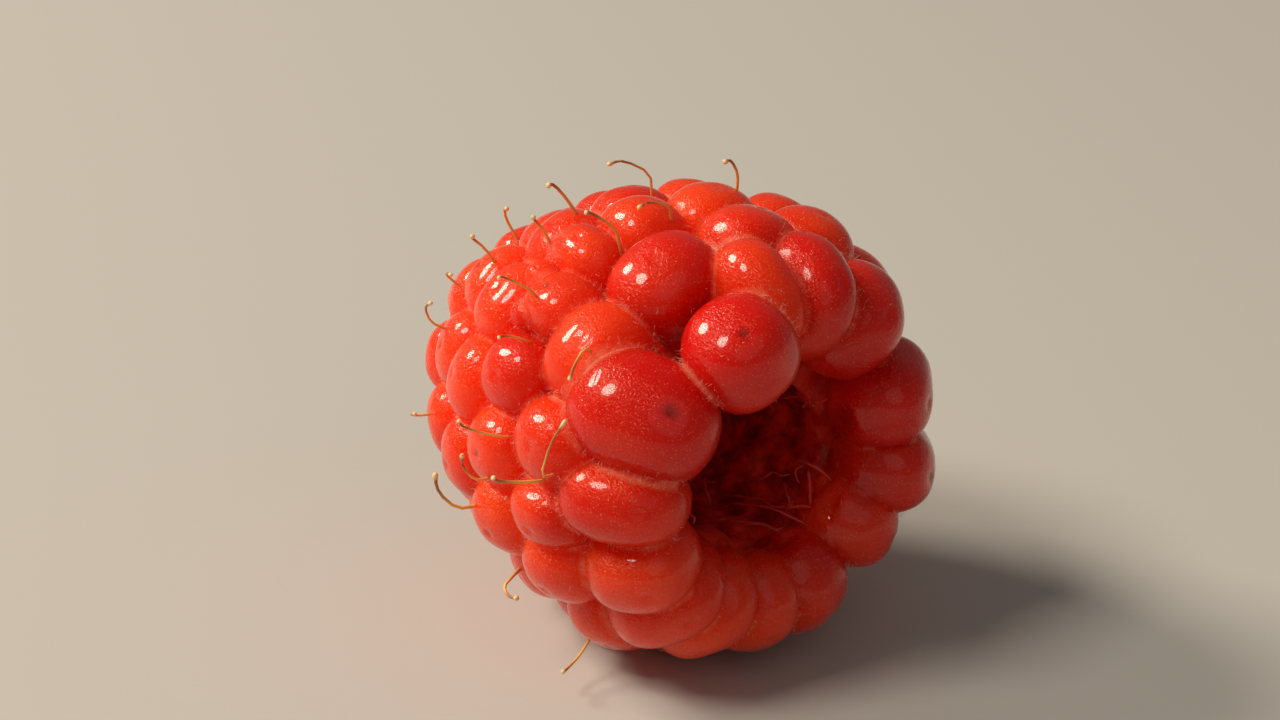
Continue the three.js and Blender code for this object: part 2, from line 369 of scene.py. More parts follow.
def bore_body():
    """The hollow's own shape: its wall takes the backs of the drupelets and the folds torn between them."""
    body = turned("bore", finer(BORE[:WALL_POINTS], BORE_STEP) + BORE[WALL_POINTS:], BORE_SIDES)
    wall = body.vertex_groups.new(name="wall")
    for vertex in body.data.vertices:
        along, y, z = vertex.co
        depth = float(ramp(along, *WALL_FADE))
        middle = min(1, math.hypot(y, z) / WALL_HEART)
        wall.add([vertex.index], depth * middle, "REPLACE")
    displaced(body, "backs", "VORONOI", BACK_SIZE, BACK_RISE, BACK_LEVEL, "wall")
    ridges = {"musgrave_type": "RIDGED_MULTIFRACTAL", "octaves": 2}
    displaced(body, "folds", "MUSGRAVE", FOLD_SIZE, FOLD_RISE, FOLD_LEVEL, "wall", **ridges)
    body.vertex_groups.clear()
    body.data.transform(LIE)
    return body


def cut_away(fruit, tool):
    cut = fruit.modifiers.new("cut", "BOOLEAN")
    cut.operation = "DIFFERENCE"
    cut.object = tool
    cut.solver = "MANIFOLD"
    apply_modifier(fruit, cut)
    bpy.data.objects.remove(tool, do_unlink=True)


LIP = (3.2, 4.9)  # out from the axis, between these, the mouth's cut edge is rounded
LIP_FROM = 3.6  # along the axis


def soften_lip(piece):
    """Rounds the edge where the rim drupelets turn in to the hollow."""
    upright = LIE.inverted()
    for vertex in piece.data.vertices:
        own = upright @ vertex.co
        vertex.select = own.x > LIP_FROM and LIP[0] < math.hypot(own.y, own.z) < LIP[1]
    take(piece)
    bpy.ops.object.mode_set(mode="EDIT")
    bpy.ops.mesh.vertices_smooth(factor=0.5, repeat=10)
    done()


def drop_scraps(piece):
    """Removes what a cut has left loose beside the body."""
    take(piece)
    highest = max(piece.data.vertices, key=lambda vertex: vertex.co.z)
    for vertex in piece.data.vertices:
        vertex.select = vertex == highest
    bpy.ops.object.mode_set(mode="EDIT")
    bpy.ops.mesh.select_mode(type="VERT")
    bpy.ops.mesh.select_linked()
    bpy.ops.mesh.select_all(action="INVERT")
    bpy.ops.mesh.delete(type="VERT")
    done()


BELOW_WIDE = 60  # the space under the fruit, which cuts its flat spots
BELOW_DEEP = 10

fruit = join_drupelets()
displaced(fruit, "lumps", "CLOUDS", LUMP_SIZE, LUMP_RISE, LUMP_LEVEL, noise_depth=1)
cut_away(fruit, bore_body())
bare_hands()
bpy.ops.mesh.primitive_cube_add(size=1, location=(0, 0, 0))
slab = named("slab")
slab.data.transform(Matrix.Diagonal((BELOW_WIDE, BELOW_WIDE, BELOW_DEEP, 1)))
slab.data.transform(Matrix.Translation((0, 0, -BELOW_DEEP / 2)))
cut_away(fruit, slab)
soften_lip(fruit)
drop_scraps(fruit)
for spare in (rim_drupelet, plain_drupelet):
    bpy.data.objects.remove(spare, do_unlink=True)


# ---- what the skin needs to know of itself, kept on its points
SKIN_CREASE = 35  # degrees: a sharper fold of the skin stays an edge
SPECKED = 0.4  # the share of drupelets with a dark speck
SPECK_WIDE = 0.13  # out from a speck's middle to where it ends, in its drupelet's own size
SPECK_EDGE = 0.07  # how far in from there it is full
PAINTED_SHADE_AT = 6.5  # along the axis: from here the rim's drupelets are the deepest in colour, a painted shade
PAINTED_LIGHT_FROM = -4.0  # along the axis: from here to the tip they are the lightest, a painted light
OWN_TONE = 0.6  # how much of a drupelet's colour is its own, and not the painted light and shade of its place along the fruit
# Each pair below is where a mask starts and how far on it is full
PRESSED = (1.5, -0.5)  # out from the middle of the next drupelet, in its own size: a groove
IN_PIT = (1.02, 0.1)  # out from the middle of the nearest one, in its own size: flesh in a pit
LINED = (5.2, -0.8)  # out from the axis: the lining of the hollow
WITHIN = (6.4, -1.2)  # out from the axis: where a groove is no longer drawn
DEEP_END = (-6.6, 0.5)  # along the axis: the inner end of the hollow
MOUTH_END = (7.4, -3.0)  # along the axis: its mouth


def mark_skin(mesh):
    """Writes groove, 1 where two drupelets meet; scar, 1 where a style has left a dark speck; tone, from 0
    where the skin is deepest to 1 where it is palest, partly each drupelet's own colour and partly painted
    shade at the rim and painted light towards the tip; and hollow, 1 on the wall of the hollow."""
    points = np.empty(len(mesh.vertices) * 3)
    mesh.vertices.foreach_get("co", points)
    points = points.reshape(-1, 3)
    reach = np.empty((len(DRUPELETS), len(points)))
    speck = np.empty((len(DRUPELETS), len(points)))
    for number, row in enumerate(DRUPELETS):
        inverse = np.array(drupelet_matrix(row).inverted())
        own = points @ inverse[:3, :3].T + inverse[:3, 3]
        reach[number] = (np.abs(own) ** FULLNESS).sum(axis=1) ** (1 / FULLNESS)
        heading = own / np.maximum(np.linalg.norm(own, axis=1), 1e-6)[:, None]
        scar = scar_turn(number) @ (RIM_SCAR if number < RIM_COUNT else FACE_SCAR)
        off = np.linalg.norm(heading - np.array(scar.normalized()), axis=1)
        speck[number] = ramp(off, SPECK_WIDE, -SPECK_EDGE) * (hashed(number, 34) < SPECKED)
    order = np.argsort(reach, axis=0)[:2]
    every = np.arange(len(points))
    nearest = order[0]
    second = reach[order[1], every]
    groove = np.maximum(ramp(second, *PRESSED), ramp(reach[nearest, every], *IN_PIT))
    scar = speck[nearest, every]
    lie = np.array(LIE.inverted())
    own = points @ lie[:3, :3].T + lie[:3, 3]
    tone_and_painted_light = OWN_TONE * np.array([hashed(number, 5) for number in range(len(DRUPELETS))])[nearest]
    # painted light on the tip and painted shade on the rim: the colour pales by place along the fruit towards
    # the tip
    tone_and_painted_light += (1 - OWN_TONE) * ramp(own[:, 0], PAINTED_SHADE_AT, PAINTED_LIGHT_FROM - PAINTED_SHADE_AT)
    out = np.hypot(own[:, 1], own[:, 2])
    lining = ramp(out, *LINED) * ramp(own[:, 0], *DEEP_END) * ramp(own[:, 0], *MOUTH_END)
    groove *= 1 - ramp(out, *WITHIN) * ramp(own[:, 0], *DEEP_END)
    for label, values in (("groove", groove), ("scar", scar), ("tone_and_painted_light", tone_and_painted_light), ("hollow", lining)):
        layer = mesh.attributes.new(label, "FLOAT", "POINT")
        layer.data.foreach_set("value", values.astype(np.float32))
    return groove, lining


groove, lining = mark_skin(fruit.data)
fruit.data.transform(Matrix.Diagonal((MM, MM, MM, 1)))
take(fruit)
bpy.ops.object.shade_smooth_by_angle(angle=math.radians(SKIN_CREASE))
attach(fruit, "root")
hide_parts("berry")


# ---- threads: styles, the fibres of the hollow and the down are each drawn from a shaped rod
THREAD_CREASE = 60  # degrees


def model_rod(name, sides, rings):
    """A rod along Z from 0 to 1, given as [height, radius] rings; its height is kept as "reach"."""
    bare_hands()
    first_height, first_radius = rings[0]
    bpy.ops.mesh.primitive_circle_add(
        vertices=sides, radius=first_radius, fill_type="NGON", location=(0, 0, first_height)
    )
    piece = named(name)
    take(piece)
    bpy.ops.object.transform_apply(location=True, rotation=True, scale=True)
    edit(piece)
    bpy.ops.mesh.select_all(action="SELECT")
    for (low, small), (high, large) in zip(rings, rings[1:]):
        bpy.ops.mesh.extrude_region_move(TRANSFORM_OT_translate={"value": (0, 0, high - low)})
        bpy.ops.transform.resize(value=(large / small, large / small, 1), center_override=(0, 0, high))
    bpy.ops.mesh.select_all(action="SELECT")
    bpy.ops.mesh.normals_make_consistent(inside=False)
    done()
    heights = [vertex.co.z for vertex in piece.data.vertices]
    layer = piece.data.attributes.new("reach", "FLOAT", "POINT")
    layer.data.foreach_set("value", heights)
    return piece


def on_curve(points, t):
    """The point at t of a smooth curve through these points, and its direction there."""
    spans = len(points) - 1
    at = min(int(t * spans), spans - 1)
    u = t * spans - at
    p1 = points[at]
    p2 = points[at + 1]
    p0 = points[at - 1] if at else 2 * p1 - p2
    p3 = points[at + 2] if at + 2 <= spans else 2 * p2 - p1
    square = 2 * p0 - 5 * p1 + 4 * p2 - p3
    cube = 3 * p1 - p0 - 3 * p2 + p3
    place = 0.5 * (2 * p1 + (p2 - p0) * u + square * u * u + cube * u ** 3)
    heading = 0.5 * ((p2 - p0) + 2 * square * u + 3 * cube * u * u)
    return place, heading.normalized()


def draw_thread(rod, points, radius, side):
    """A copy of the rod, laid along a curve."""
    thread = bpy.data.objects.new("thread", rod.data.copy())
    bpy.context.scene.collection.objects.link(thread)
    for vertex in thread.data.vertices:
        place, heading = on_curve(points, min(max(vertex.co.z, 0), 1))
        first = heading.cross(side).normalized()
        second = heading.cross(first).normalized()
        vertex.co = place + first * (vertex.co.x * radius) + second * (vertex.co.y * radius)
    return thread


def join_threads(name, threads):
    bare_hands()
    for thread in threads:
        thread.select_set(True)
    bpy.context.view_layer.objects.active = threads[0]
    bpy.ops.object.join()
    piece = named(name)
    piece.data.transform(Matrix.Diagonal((MM, MM, MM, 1)))
    take(piece)
    bpy.ops.object.shade_smooth_by_angle(angle=math.radians(THREAD_CREASE))
    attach(piece, "root")
    return piece


STYLE_RADIUS = 0.070
STYLE_SIDES = 7
STYLE_THICK = (0.85, 1.20)  # the thinnest and the thickest, as shares of that
STYLE_SUNK = 0.6
STYLE_FOOT = 0.5  # of its station along the axis: where a style points back to
STYLE_STRAY = 0.12  # of its length: how far it strays sideways and along the fruit
LOWER_BEND = (0.3, 0.1)  # of its length out of the drupelet, and of the way to its end
UPPER_BEND = (0.24, 0.62)
style_rod = model_rod(
    "style_rod",
    STYLE_SIDES,
    [(0, 1.25), (0.1, 1.15), (0.2, 1.0), (0.32, 0.95), (0.44, 0.9), (0.56, 0.86), (0.68, 0.84), (0.78, 0.84),
     (0.86, 0.88), (0.91, 1.05), (0.94, 1.45), (0.965, 1.6), (0.985, 1.35), (1.0, 0.6)],
)
# Styles on the side that catches the light: root along, round and out, then end along, round and out
STYLES = [
    (-1.9, 88, 9.4, -2.3, 99, 11.3),
    (0.4, 72, 10.2, 0.9, 80, 11.6),
    (-2.6, 109, 9.5, -2.4, 114, 11.9),
    (-8.0, 112, 6.8, -7.1, 114, 8.8),
    (-2.3, 120, 9.4, -1.9, 121, 11.5),
    (1.0, 112, 9.5, 0.8, 116, 12.0),
    (1.2, 96, 9.6, 1.2, 105, 10.9),
    (0.2, 135, 10.2, 0.4, 137, 12.8),
    (-5.3, 130, 8.5, -4.9, 130, 10.8),
    (-8.3, 140, 6.9, -7.5, 139, 8.3),
    (-6.3, 154, 8.3, -5.8, 148, 10.0),
    (0.5, 145, 9.6, 1.0, 147, 11.7),
    (1.2, 169, 9.5, 0.9, 165, 12.2),
    (0.5, 181, 9.9, 0.6, 173, 11.5),
    (4.0, 174, 9.6, 4.1, 171, 12.5),
    (-0.6, 191, 10.0, -1.0, 180, 11.7),
    (-5.9, 180, 8.5, -5.1, 176, 9.9),
    (3.0, 230, 10.0, 4.1, 223, 12.0),
    (0.0, 213, 10.1, 1.4, 212, 10.8),
    (4.4, 140, 9.9, 5.0, 148, 10.8),
    (4.6, 171, 9.7, 5.4, 156, 10.5),
]
LIT_SIDE = (25, 236)  # degrees round the axis: on this side only the styles listed above stand
LIT_FROM = -11  # along the axis: how far towards the tip that side goes
KEPT = 0.62  # the chance that another drupelet behind the rim has kept its style
CLEARANCE = 0.6  # no style or hair comes nearer to the surface than this
ROOTED = 0.97  # of a drupelet's depth: where its style leaves it
STYLE_LENGTH = (1.5, 2.8)
STYLE_BOW = (14, 43)  # degrees that a style leans from its drupelet's face towards the tip
STYLE_SWAY = (-1.5, 1.5)  # how far round the axis from its root its free end stands


def style_ends():
    """(root, end) of every style: those listed, then those that a fixed draw leaves elsewhere."""
    ends = [
        (point_at(along, at, out), point_at(to_along, to_at, to_out))
        for along, at, out, to_along, to_at, to_out in STYLES
    ]
    for index, row in enumerate(DRUPELETS[RIM_COUNT : -len(LITTLE)]):
        along, out, at, lean, long, half_width, deep = row
        lit = along > LIT_FROM and LIT_SIDE[0] < at < LIT_SIDE[1]
        if lit or hashed(index, 1) > KEPT:
            continue
        face = deep * ROOTED
        tilt = math.radians(lean)
        root_along = along + face * math.sin(tilt)
        root_out = out + face * math.cos(tilt)
        length = between(STYLE_LENGTH, hashed(index, 2))
        bow = tilt - math.radians(between(STYLE_BOW, hashed(index, 3)))
        sway = math.degrees(between(STYLE_SWAY, hashed(index, 4)) / root_out)
        root = point_at(root_along, at, root_out)
        end = point_at(root_along + length * math.sin(bow), at + sway, root_out + length * math.cos(bow))
        if min(root.z, end.z) >= CLEARANCE:
            ends.append((root, end))
    return ends


def draw_styles():
    threads = []
    for index, (root, end) in enumerate(style_ends()):
        normal = (root - Vector((root.x * STYLE_FOOT, 0, AXIS_HEIGHT))).normalized()
        length = (end - root).length
        side = normal.cross(AXIAL).normalized()
        sway = side * (STYLE_STRAY * length * (hashed(index, 11) - 0.5))
        curl = AXIAL * (STYLE_STRAY * length * (hashed(index, 12) - 0.5))
        lower = root + normal * (LOWER_BEND[0] * length) + (end - root) * LOWER_BEND[1] + sway
        upper = root + normal * (UPPER_BEND[0] * length) + (end - root) * UPPER_BEND[1] + curl
        points = [root - normal * STYLE_SUNK, root, lower, upper, end]
        radius = STYLE_RADIUS * between(STYLE_THICK, hashed(index, 13))
        threads.append(draw_thread(style_rod, points, radius, side))
    return join_threads("styles", threads)


styles = draw_styles()
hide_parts("berry")

# ---- torn fibres that the receptacle left on the wall of the hollow
FIBRE_RADIUS = 0.075
FIBRE_SIDES = 6
FIBRE_CURL = 0.16  # how far a fibre strays from its path
fibre_rod = model_rod(
    "fibre_rod",
    FIBRE_SIDES,
    [(0, 1.2), (0.07, 1.0), (0.15, 0.6), (0.23, 0.95), (0.31, 1.15), (0.4, 0.7), (0.49, 0.9), (0.58, 1.1),
     (0.67, 0.6), (0.76, 0.75), (0.85, 0.9), (0.93, 0.6), (1, 0.35)],
)
# Each fibre's path over the wall: along, round and out
FIBRES = [
    [(2.6, 280, 3.9), (3.4, 286, 3.5), (4.6, 294, 3.45), (5.6, 299, 3.6), (6.9, 303, 4.1)],
    [(2.2, 291, 3.8), (3.2, 294, 3.55), (4.4, 300, 3.5), (5.4, 304, 3.7)],
    [(3.2, 262, 4.1), (3.9, 272, 3.7), (5.0, 281, 3.65), (6.2, 288, 3.9)],
    [(3.9, 268, 4.1), (4.5, 276, 3.8), (5.3, 284, 3.75), (6.0, 293, 4.0)],
    [(4.3, 340, 4.1), (4.9, 337, 3.6), (5.6, 338, 3.6), (6.6, 334, 4.1)],
    [(4.9, 337, 3.65), (4.9, 330, 3.6), (5.1, 323, 4.0)],
    [(1.2, 296, 3.8), (1.1, 289, 3.3), (1.7, 282, 3.4), (2.2, 279, 3.9)],
    [(5.0, 300, 4.1), (5.8, 306, 3.7), (6.6, 313, 3.8), (7.2, 318, 4.2)],
]
FIBRE_THICK = (0.6, 1.2)  # the thinnest and the thickest, as shares of the radius
# Others are strewn over the wall by a fixed draw: station, turn round it, step along it and lift off it
STRAY_FIBRES = 22
STRAY_ALONG = (-3.5, 6.0)
STRAY_TURN = (-20, 20)
STRAY_STEP = (0.35, 0.80)
STRAY_LIFT = (0.05, 0.25)
# Each point of such a fibre: steps along, share of its turn, how deep in the wall, share of its lift
STRAY_PATH = [(0, 0, 0.25, 0), (1, 0.5, 0, 1), (2, 1.3, 0, 0.6), (3, 1.6, 0.15, 0)]
WALL_OUT = (3.0, 3.95)  # out from the axis: the wall at its inner end, and from its middle on
WALL_WIDENS = (-3.2, 6.0)  # along the axis: where it starts to widen, and for how long


def strayed(points, index):
    """The same path with a middle point between each two, all but its ends set a little aside."""
    path = [points[0]]
    for place, (start, end) in enumerate(zip(points, points[1:])):
        salt = 40 + 3 * place
        aside = Vector((hashed(index, salt), hashed(index, salt + 1), hashed(index, salt + 2))) * 2
        path.append((start + end) / 2 + (aside - Vector((1, 1, 1))) * FIBRE_CURL)
        path.append(end)
    return path


def draw_fibres():
    threads = []
    paths = [[point_at(along, at, out) for along, at, out in path] for path in FIBRES]
    for index in range(STRAY_FIBRES):
        along = between(STRAY_ALONG, hashed(index, 21))
        at = 360 * hashed(index, 22)
        wall = between(WALL_OUT, float(ramp(along, *WALL_WIDENS)))
        turn = between(STRAY_TURN, hashed(index, 23))
        step = between(STRAY_STEP, hashed(index, 24))
        lift = between(STRAY_LIFT, hashed(index, 25))
        path = []
        for steps, turned_by, sunk, lifted in STRAY_PATH:
            path.append(point_at(along + steps * step, at + turned_by * turn, wall + sunk - lifted * lift))
        paths.append(path)
    for index, path in enumerate(paths):
        side = (path[0] - Vector((path[0].x, 0, AXIS_HEIGHT))).normalized()
        radius = FIBRE_RADIUS * between(FIBRE_THICK, hashed(index, 26))
        threads.append(draw_thread(fibre_rod, strayed(path, index), radius, side))
    return join_threads("hollow_fibres", threads)


fibres = draw_fibres()
for spare in (style_rod, fibre_rod):
    bpy.data.objects.remove(spare, do_unlink=True)

# ---- down: short pale hairs, thick in the grooves and thin on the open skin
DOWN_SEED = 5
DOWN_COUNT = 9000
DOWN_RADIUS = 0.006
DOWN_SIDES = 3
OPEN_SKIN = 0.012  # how thick the down stands on open skin, beside the grooves
LINING_FROM = 0.2  # of the lining's mask: from here on the down is thin
LINING_DOWN = 0.12  # how thick it is there
DOWN_SCATTER = 0.03  # of the roots round the middles of the faces that they are drawn on
DOWN_LEAN = 0.45  # spread of the hairs' lean from straight out of the skin
DOWN_LENGTH = (0.12, 0.36)
DOWN_GROWTH = (0.4, 0.7)  # share of that length on open skin, and how much more in a groove
DOWN_SUNK = 0.1  # of its length, inside the skin
DOWN_CURL = 0.35  # of its length, at the tip
down_rod = model_rod("down_rod", DOWN_SIDES, [(0, 1.0), (0.5, 0.75), (1.0, 0.15)])


def grow_down():
    mesh = fruit.data
    draw = np.random.default_rng(DOWN_SEED)
    total = len(mesh.polygons)
    centres = np.empty(total * 3)
    normals = np.empty(total * 3)
    areas = np.empty(total)
    mesh.polygons.foreach_get("center", centres)
    mesh.polygons.foreach_get("normal", normals)
    mesh.polygons.foreach_get("area", areas)
    centres = centres.reshape(-1, 3) / MM
    normals = normals.reshape(-1, 3)
    corner = np.empty(total, dtype=np.int32)
    mesh.polygons.foreach_get("loop_start", corner)
    loops = np.empty(len(mesh.loops), dtype=np.int32)
    mesh.loops.foreach_get("vertex_index", loops)
    first = loops[corner]
    thick = groove[first] ** 3 + OPEN_SKIN
    thick *= np.where(lining[first] > LINING_FROM, LINING_DOWN, 1.0) * (centres[:, 2] > CLEARANCE)
    share = areas * thick
    chosen = draw.choice(total, DOWN_COUNT, p=share / share.sum())
    roots = centres[chosen] + draw.normal(0, DOWN_SCATTER, (DOWN_COUNT, 3))
    heading = normals[chosen] + draw.normal(0, DOWN_LEAN, (DOWN_COUNT, 3))
    heading /= np.linalg.norm(heading, axis=1, keepdims=True)
    bend = np.cross(heading, draw.normal(0, 1, (DOWN_COUNT, 3)))
    bend /= np.linalg.norm(bend, axis=1, keepdims=True)
    other = np.cross(heading, bend)
    length = draw.uniform(*DOWN_LENGTH, DOWN_COUNT)
    length *= DOWN_GROWTH[0] + DOWN_GROWTH[1] * groove[first][chosen]
    pattern = np.array([vertex.co for vertex in down_rod.data.vertices])
    across = pattern[None, :, 0, None] * DOWN_RADIUS * bend[:, None] + (
        pattern[None, :, 1, None] * DOWN_RADIUS * other[:, None]
    )
    rise = pattern[None, :, 2, None] * (1 + DOWN_SUNK) - DOWN_SUNK
    up_hair = rise * length[:, None, None] * heading[:, None]
    curl = (rise ** 2) * (DOWN_CURL * length)[:, None, None] * bend[:, None]
    places = (roots[:, None] + across + up_hair + curl).reshape(-1, 3) * MM
    faces = [list(face.vertices) for face in down_rod.data.polygons]
    step = len(pattern)
    every = [[corner + hair * step for corner in face] for hair in range(DOWN_COUNT) for face in faces]
    hairs = bpy.data.meshes.new("down")
    hairs.from_pydata(places, [], every)
    piece = bpy.data.objects.new("down", hairs)
    bpy.context.scene.collection.objects.link(piece)
    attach(piece, "root")
    return piece


down = grow_down()
bpy.data.objects.remove(down_rod, do_unlink=True)


# ---- finishes
MIX_INPUTS = (0, 6, 7)  # of a colour mix: its share and its two colours
MIX_RESULT = 2


def feed(tree, socket, value):
    """Links another node's socket to this one, or sets this one to a plain value."""
    if isinstance(value, bpy.types.NodeSocket):
        tree.links.new(value, socket)
    else:
        socket.default_value = value


def add(tree, kind, inputs=None, **settings):
    node = tree.nodes.new(kind)
    for key, value in settings.items():
        setattr(node, key, value)
    for key, value in (inputs or {}).items():
        feed(tree, node.inputs[key], value)
    return node


def mixed(tree, share, first, second):
    node = add(tree, "ShaderNodeMix", data_type="RGBA")
    for place, value in zip(MIX_INPUTS, (share, first, second)):
        feed(tree, node.inputs[place], value)
    return node.outputs[MIX_RESULT]


def ranged(tree, value, low, high, to_low, to_high):
    node = add(
        tree,
        "ShaderNodeMapRange",
        {"Value": value, "From Min": low, "From Max": high, "To Min": to_low, "To Max": to_high},
        interpolation_type="SMOOTHSTEP",
    )
    return node.outputs["Result"]


def sums(tree, operation, first, second):
    node = add(tree, "ShaderNodeMath", operation=operation)
    feed(tree, node.inputs[0], first)
    feed(tree, node.inputs[1], second)
    return node.outputs[0]


def attribute(tree, label):
    return add(tree, "ShaderNodeAttribute", attribute_name=label).outputs["Fac"]


def bumped(tree, height, strength, deep, under=None):
    """The normal of a skin raised by this height, over any bump that lies under it."""
    inputs = {"Height": height, "Strength": strength, "Distance": deep}
    if under is not None:
        inputs["Normal"] = under
    return add(tree, "ShaderNodeBump", inputs).outputs["Normal"]


def make_grain():
    """Grain of a living skin or a dry thread: Height is for a bump, Cloud is broad and soft, and Beads
    is a fine scatter of raised points."""
    group = bpy.data.node_groups.new("grain", "ShaderNodeTree")
    face = group.interface
    face.new_socket("Place", in_out="INPUT", socket_type="NodeSocketVector")
    face.new_socket("Fine", in_out="INPUT", socket_type="NodeSocketFloat")
    face.new_socket("Broad", in_out="INPUT", socket_type="NodeSocketFloat")
    face.new_socket("Height", in_out="OUTPUT", socket_type="NodeSocketFloat")
    face.new_socket("Cloud", in_out="OUTPUT", socket_type="NodeSocketFloat")
    face.new_socket("Beads", in_out="OUTPUT", socket_type="NodeSocketFloat")
    entry = add(group, "NodeGroupInput")
    leave = add(group, "NodeGroupOutput")
    pores = add(
        group,
        "ShaderNodeTexVoronoi",
        {"Vector": entry.outputs["Place"], "Scale": entry.outputs["Fine"]},
        feature="F1",
    )
    speck = add(
        group,
        "ShaderNodeTexNoise",
        {"Vector": entry.outputs["Place"], "Scale": entry.outputs["Fine"], "Detail": 1.0, "Roughness": 0.6},
    )
    cloud = add(
        group,
        "ShaderNodeTexNoise",
        {"Vector": entry.outputs["Place"], "Scale": entry.outputs["Broad"], "Detail": 2.0, "Roughness": 0.55},
    )
    half = sums(group, "MULTIPLY", pores.outputs["Distance"], 0.8)
    height = sums(group, "ADD", half, speck.outputs["Fac"])
    group.links.new(height, leave.inputs["Height"])
    group.links.new(cloud.outputs["Fac"], leave.inputs["Cloud"])
    bead = ranged(group, pores.outputs["Distance"], 0.10, 0.42, 1.0, 0.0)
    some = ranged(group, pores.outputs["Color"], 0.42, 0.62, 0.0, 1.0)
    group.links.new(sums(group, "MULTIPLY", bead, some), leave.inputs["Beads"])
    return group


grain = make_grain()


def use_grain(tree, fine, broad):
    place = add(tree, "ShaderNodeTexCoord").outputs["Object"]
    node = add(tree, "ShaderNodeGroup", node_tree=grain)
    tree.links.new(place, node.inputs["Place"])
    node.inputs["Fine"].default_value = fine
    node.inputs["Broad"].default_value = broad
    return node


def new_finish(name, piece):
    finish = bpy.data.materials.new(name)
    finish.use_nodes = True
    piece.data.materials.clear()
    piece.data.materials.append(finish)
    return finish.node_tree, finish.node_tree.nodes["Principled BSDF"]


# the flesh mixes from deep to pale red by each drupelet's own colour, by random patches, and by painted shade
# at the rim and painted light towards the tip
DEEP_FLESH = (0.57, 0.003, 0.002, 1)
PALE_FLESH = (0.95, 0.060, 0.006, 1)
DEEP_LINING = (0.36, 0.002, 0.003, 1)
WORN_LINING = (0.84, 0.030, 0.014, 1)
BEAD_COLOUR = (1.0, 0.22, 0.05, 1)
BLOOM_COLOUR = (0.91, 0.30, 0.17, 1)
SPECK_COLOUR = (0.16, 0.012, 0.004, 1)
FINE_GRAIN = (9000.0, 900.0)  # grains and clouds in a metre
BROAD_GRAIN = (2600.0, 170.0)
THREAD_GRAIN = (9000.0, 1500.0)


def skin_finish():
    """Red flesh of mixed depth, deepened by painted shade at the rim and paled by painted light towards the
    tip, with raised points, pale grooves, specks and a dark lining.
    """
    tree, shader = new_finish("drupelet_skin", fruit)
    near = use_grain(tree, *FINE_GRAIN)
    wide = use_grain(tree, *BROAD_GRAIN)
    groove_mask = attribute(tree, "groove")
    hollow_mask = attribute(tree, "hollow")
    tone_and_painted_light = attribute(tree, "tone_and_painted_light")
    # the painted light and shade along the fruit, with each drupelet's own colour and the patches, set how
    # pale the flesh is
    tone_and_painted_light_share = sums(tree, "MULTIPLY", tone_and_painted_light, 0.5)
    patches = sums(tree, "MULTIPLY", wide.outputs["Cloud"], 0.75)
    paleness_and_painted_light = ranged(tree, sums(tree, "ADD", tone_and_painted_light_share, patches), 0.3, 1.0, 0.0, 1.0)
    flesh = mixed(tree, paleness_and_painted_light, DEEP_FLESH, PALE_FLESH)
    worn_wall = ranged(tree, near.outputs["Cloud"], 0.35, 0.68, 0.0, 1.0)
    lining = mixed(tree, worn_wall, DEEP_LINING, WORN_LINING)
    open_skin = ranged(tree, hollow_mask, 0.0, 0.5, 1.0, 0.0)
    beads = sums(tree, "MULTIPLY", near.outputs["Beads"], open_skin)
    beaded = mixed(tree, sums(tree, "MULTIPLY", beads, 0.38), flesh, BEAD_COLOUR)
    body = mixed(tree, hollow_mask, beaded, lining)
    patchy = ranged(tree, near.outputs["Cloud"], 0.35, 0.7, 0.3, 1.0)
    bloom = sums(tree, "MULTIPLY", ranged(tree, groove_mask, 0.71, 1.0, 0.0, 0.62), patchy)
    veiled = mixed(tree, bloom, body, BLOOM_COLOUR)
    speck = sums(tree, "MULTIPLY", attribute(tree, "scar"), 0.65)
    coloured = mixed(tree, speck, veiled, SPECK_COLOUR)
    tree.links.new(coloured, shader.inputs["Base Color"])
    shine = ranged(tree, near.outputs["Cloud"], 0.3, 0.7, 0.15, 0.27)
    worn = sums(tree, "ADD", shine, sums(tree, "MULTIPLY", bloom, 0.4))
    dry = sums(tree, "ADD", worn, sums(tree, "MULTIPLY", hollow_mask, 0.10))
    tree.links.new(dry, shader.inputs["Roughness"])
    wet = ranged(tree, sums(tree, "MAXIMUM", groove_mask, hollow_mask), 0.1, 0.9, 0.65, 0.0)
    tree.links.new(wet, shader.inputs["Coat Weight"])
    fine_grain = sums(tree, "ADD", near.outputs["Height"], sums(tree, "MULTIPLY", beads, 0.9))
    folds = sums(tree, "MULTIPLY", hollow_mask, near.outputs["Cloud"])
    finest = bumped(tree, fine_grain, 0.75, 0.00005)
    dented = bumped(tree, wide.outputs["Height"], 0.22, 0.0001, finest)
    folded = bumped(tree, folds, 0.9, 0.0004, dented)
    tree.links.new(folded, shader.inputs["Normal"])
    shader.inputs["IOR"].default_value = 1.34
    shader.inputs["Specular Tint"].default_value = (1.0, 0.50, 0.36, 1)
    shader.inputs["Coat Roughness"].default_value = 0.09
    shader.inputs["Coat IOR"].default_value = 1.42
    shader.inputs["Subsurface Weight"].default_value = 0.9
    shader.inputs["Subsurface Radius"].default_value = (1.0, 0.08, 0.04)
    shader.inputs["Subsurface Scale"].default_value = 0.0055
    shader.inputs["Sheen Weight"].default_value = 0.03
    shader.inputs["Sheen Roughness"].default_value = 0.35
    shader.inputs["Sheen Tint"].default_value = (1.0, 0.5, 0.4, 1)


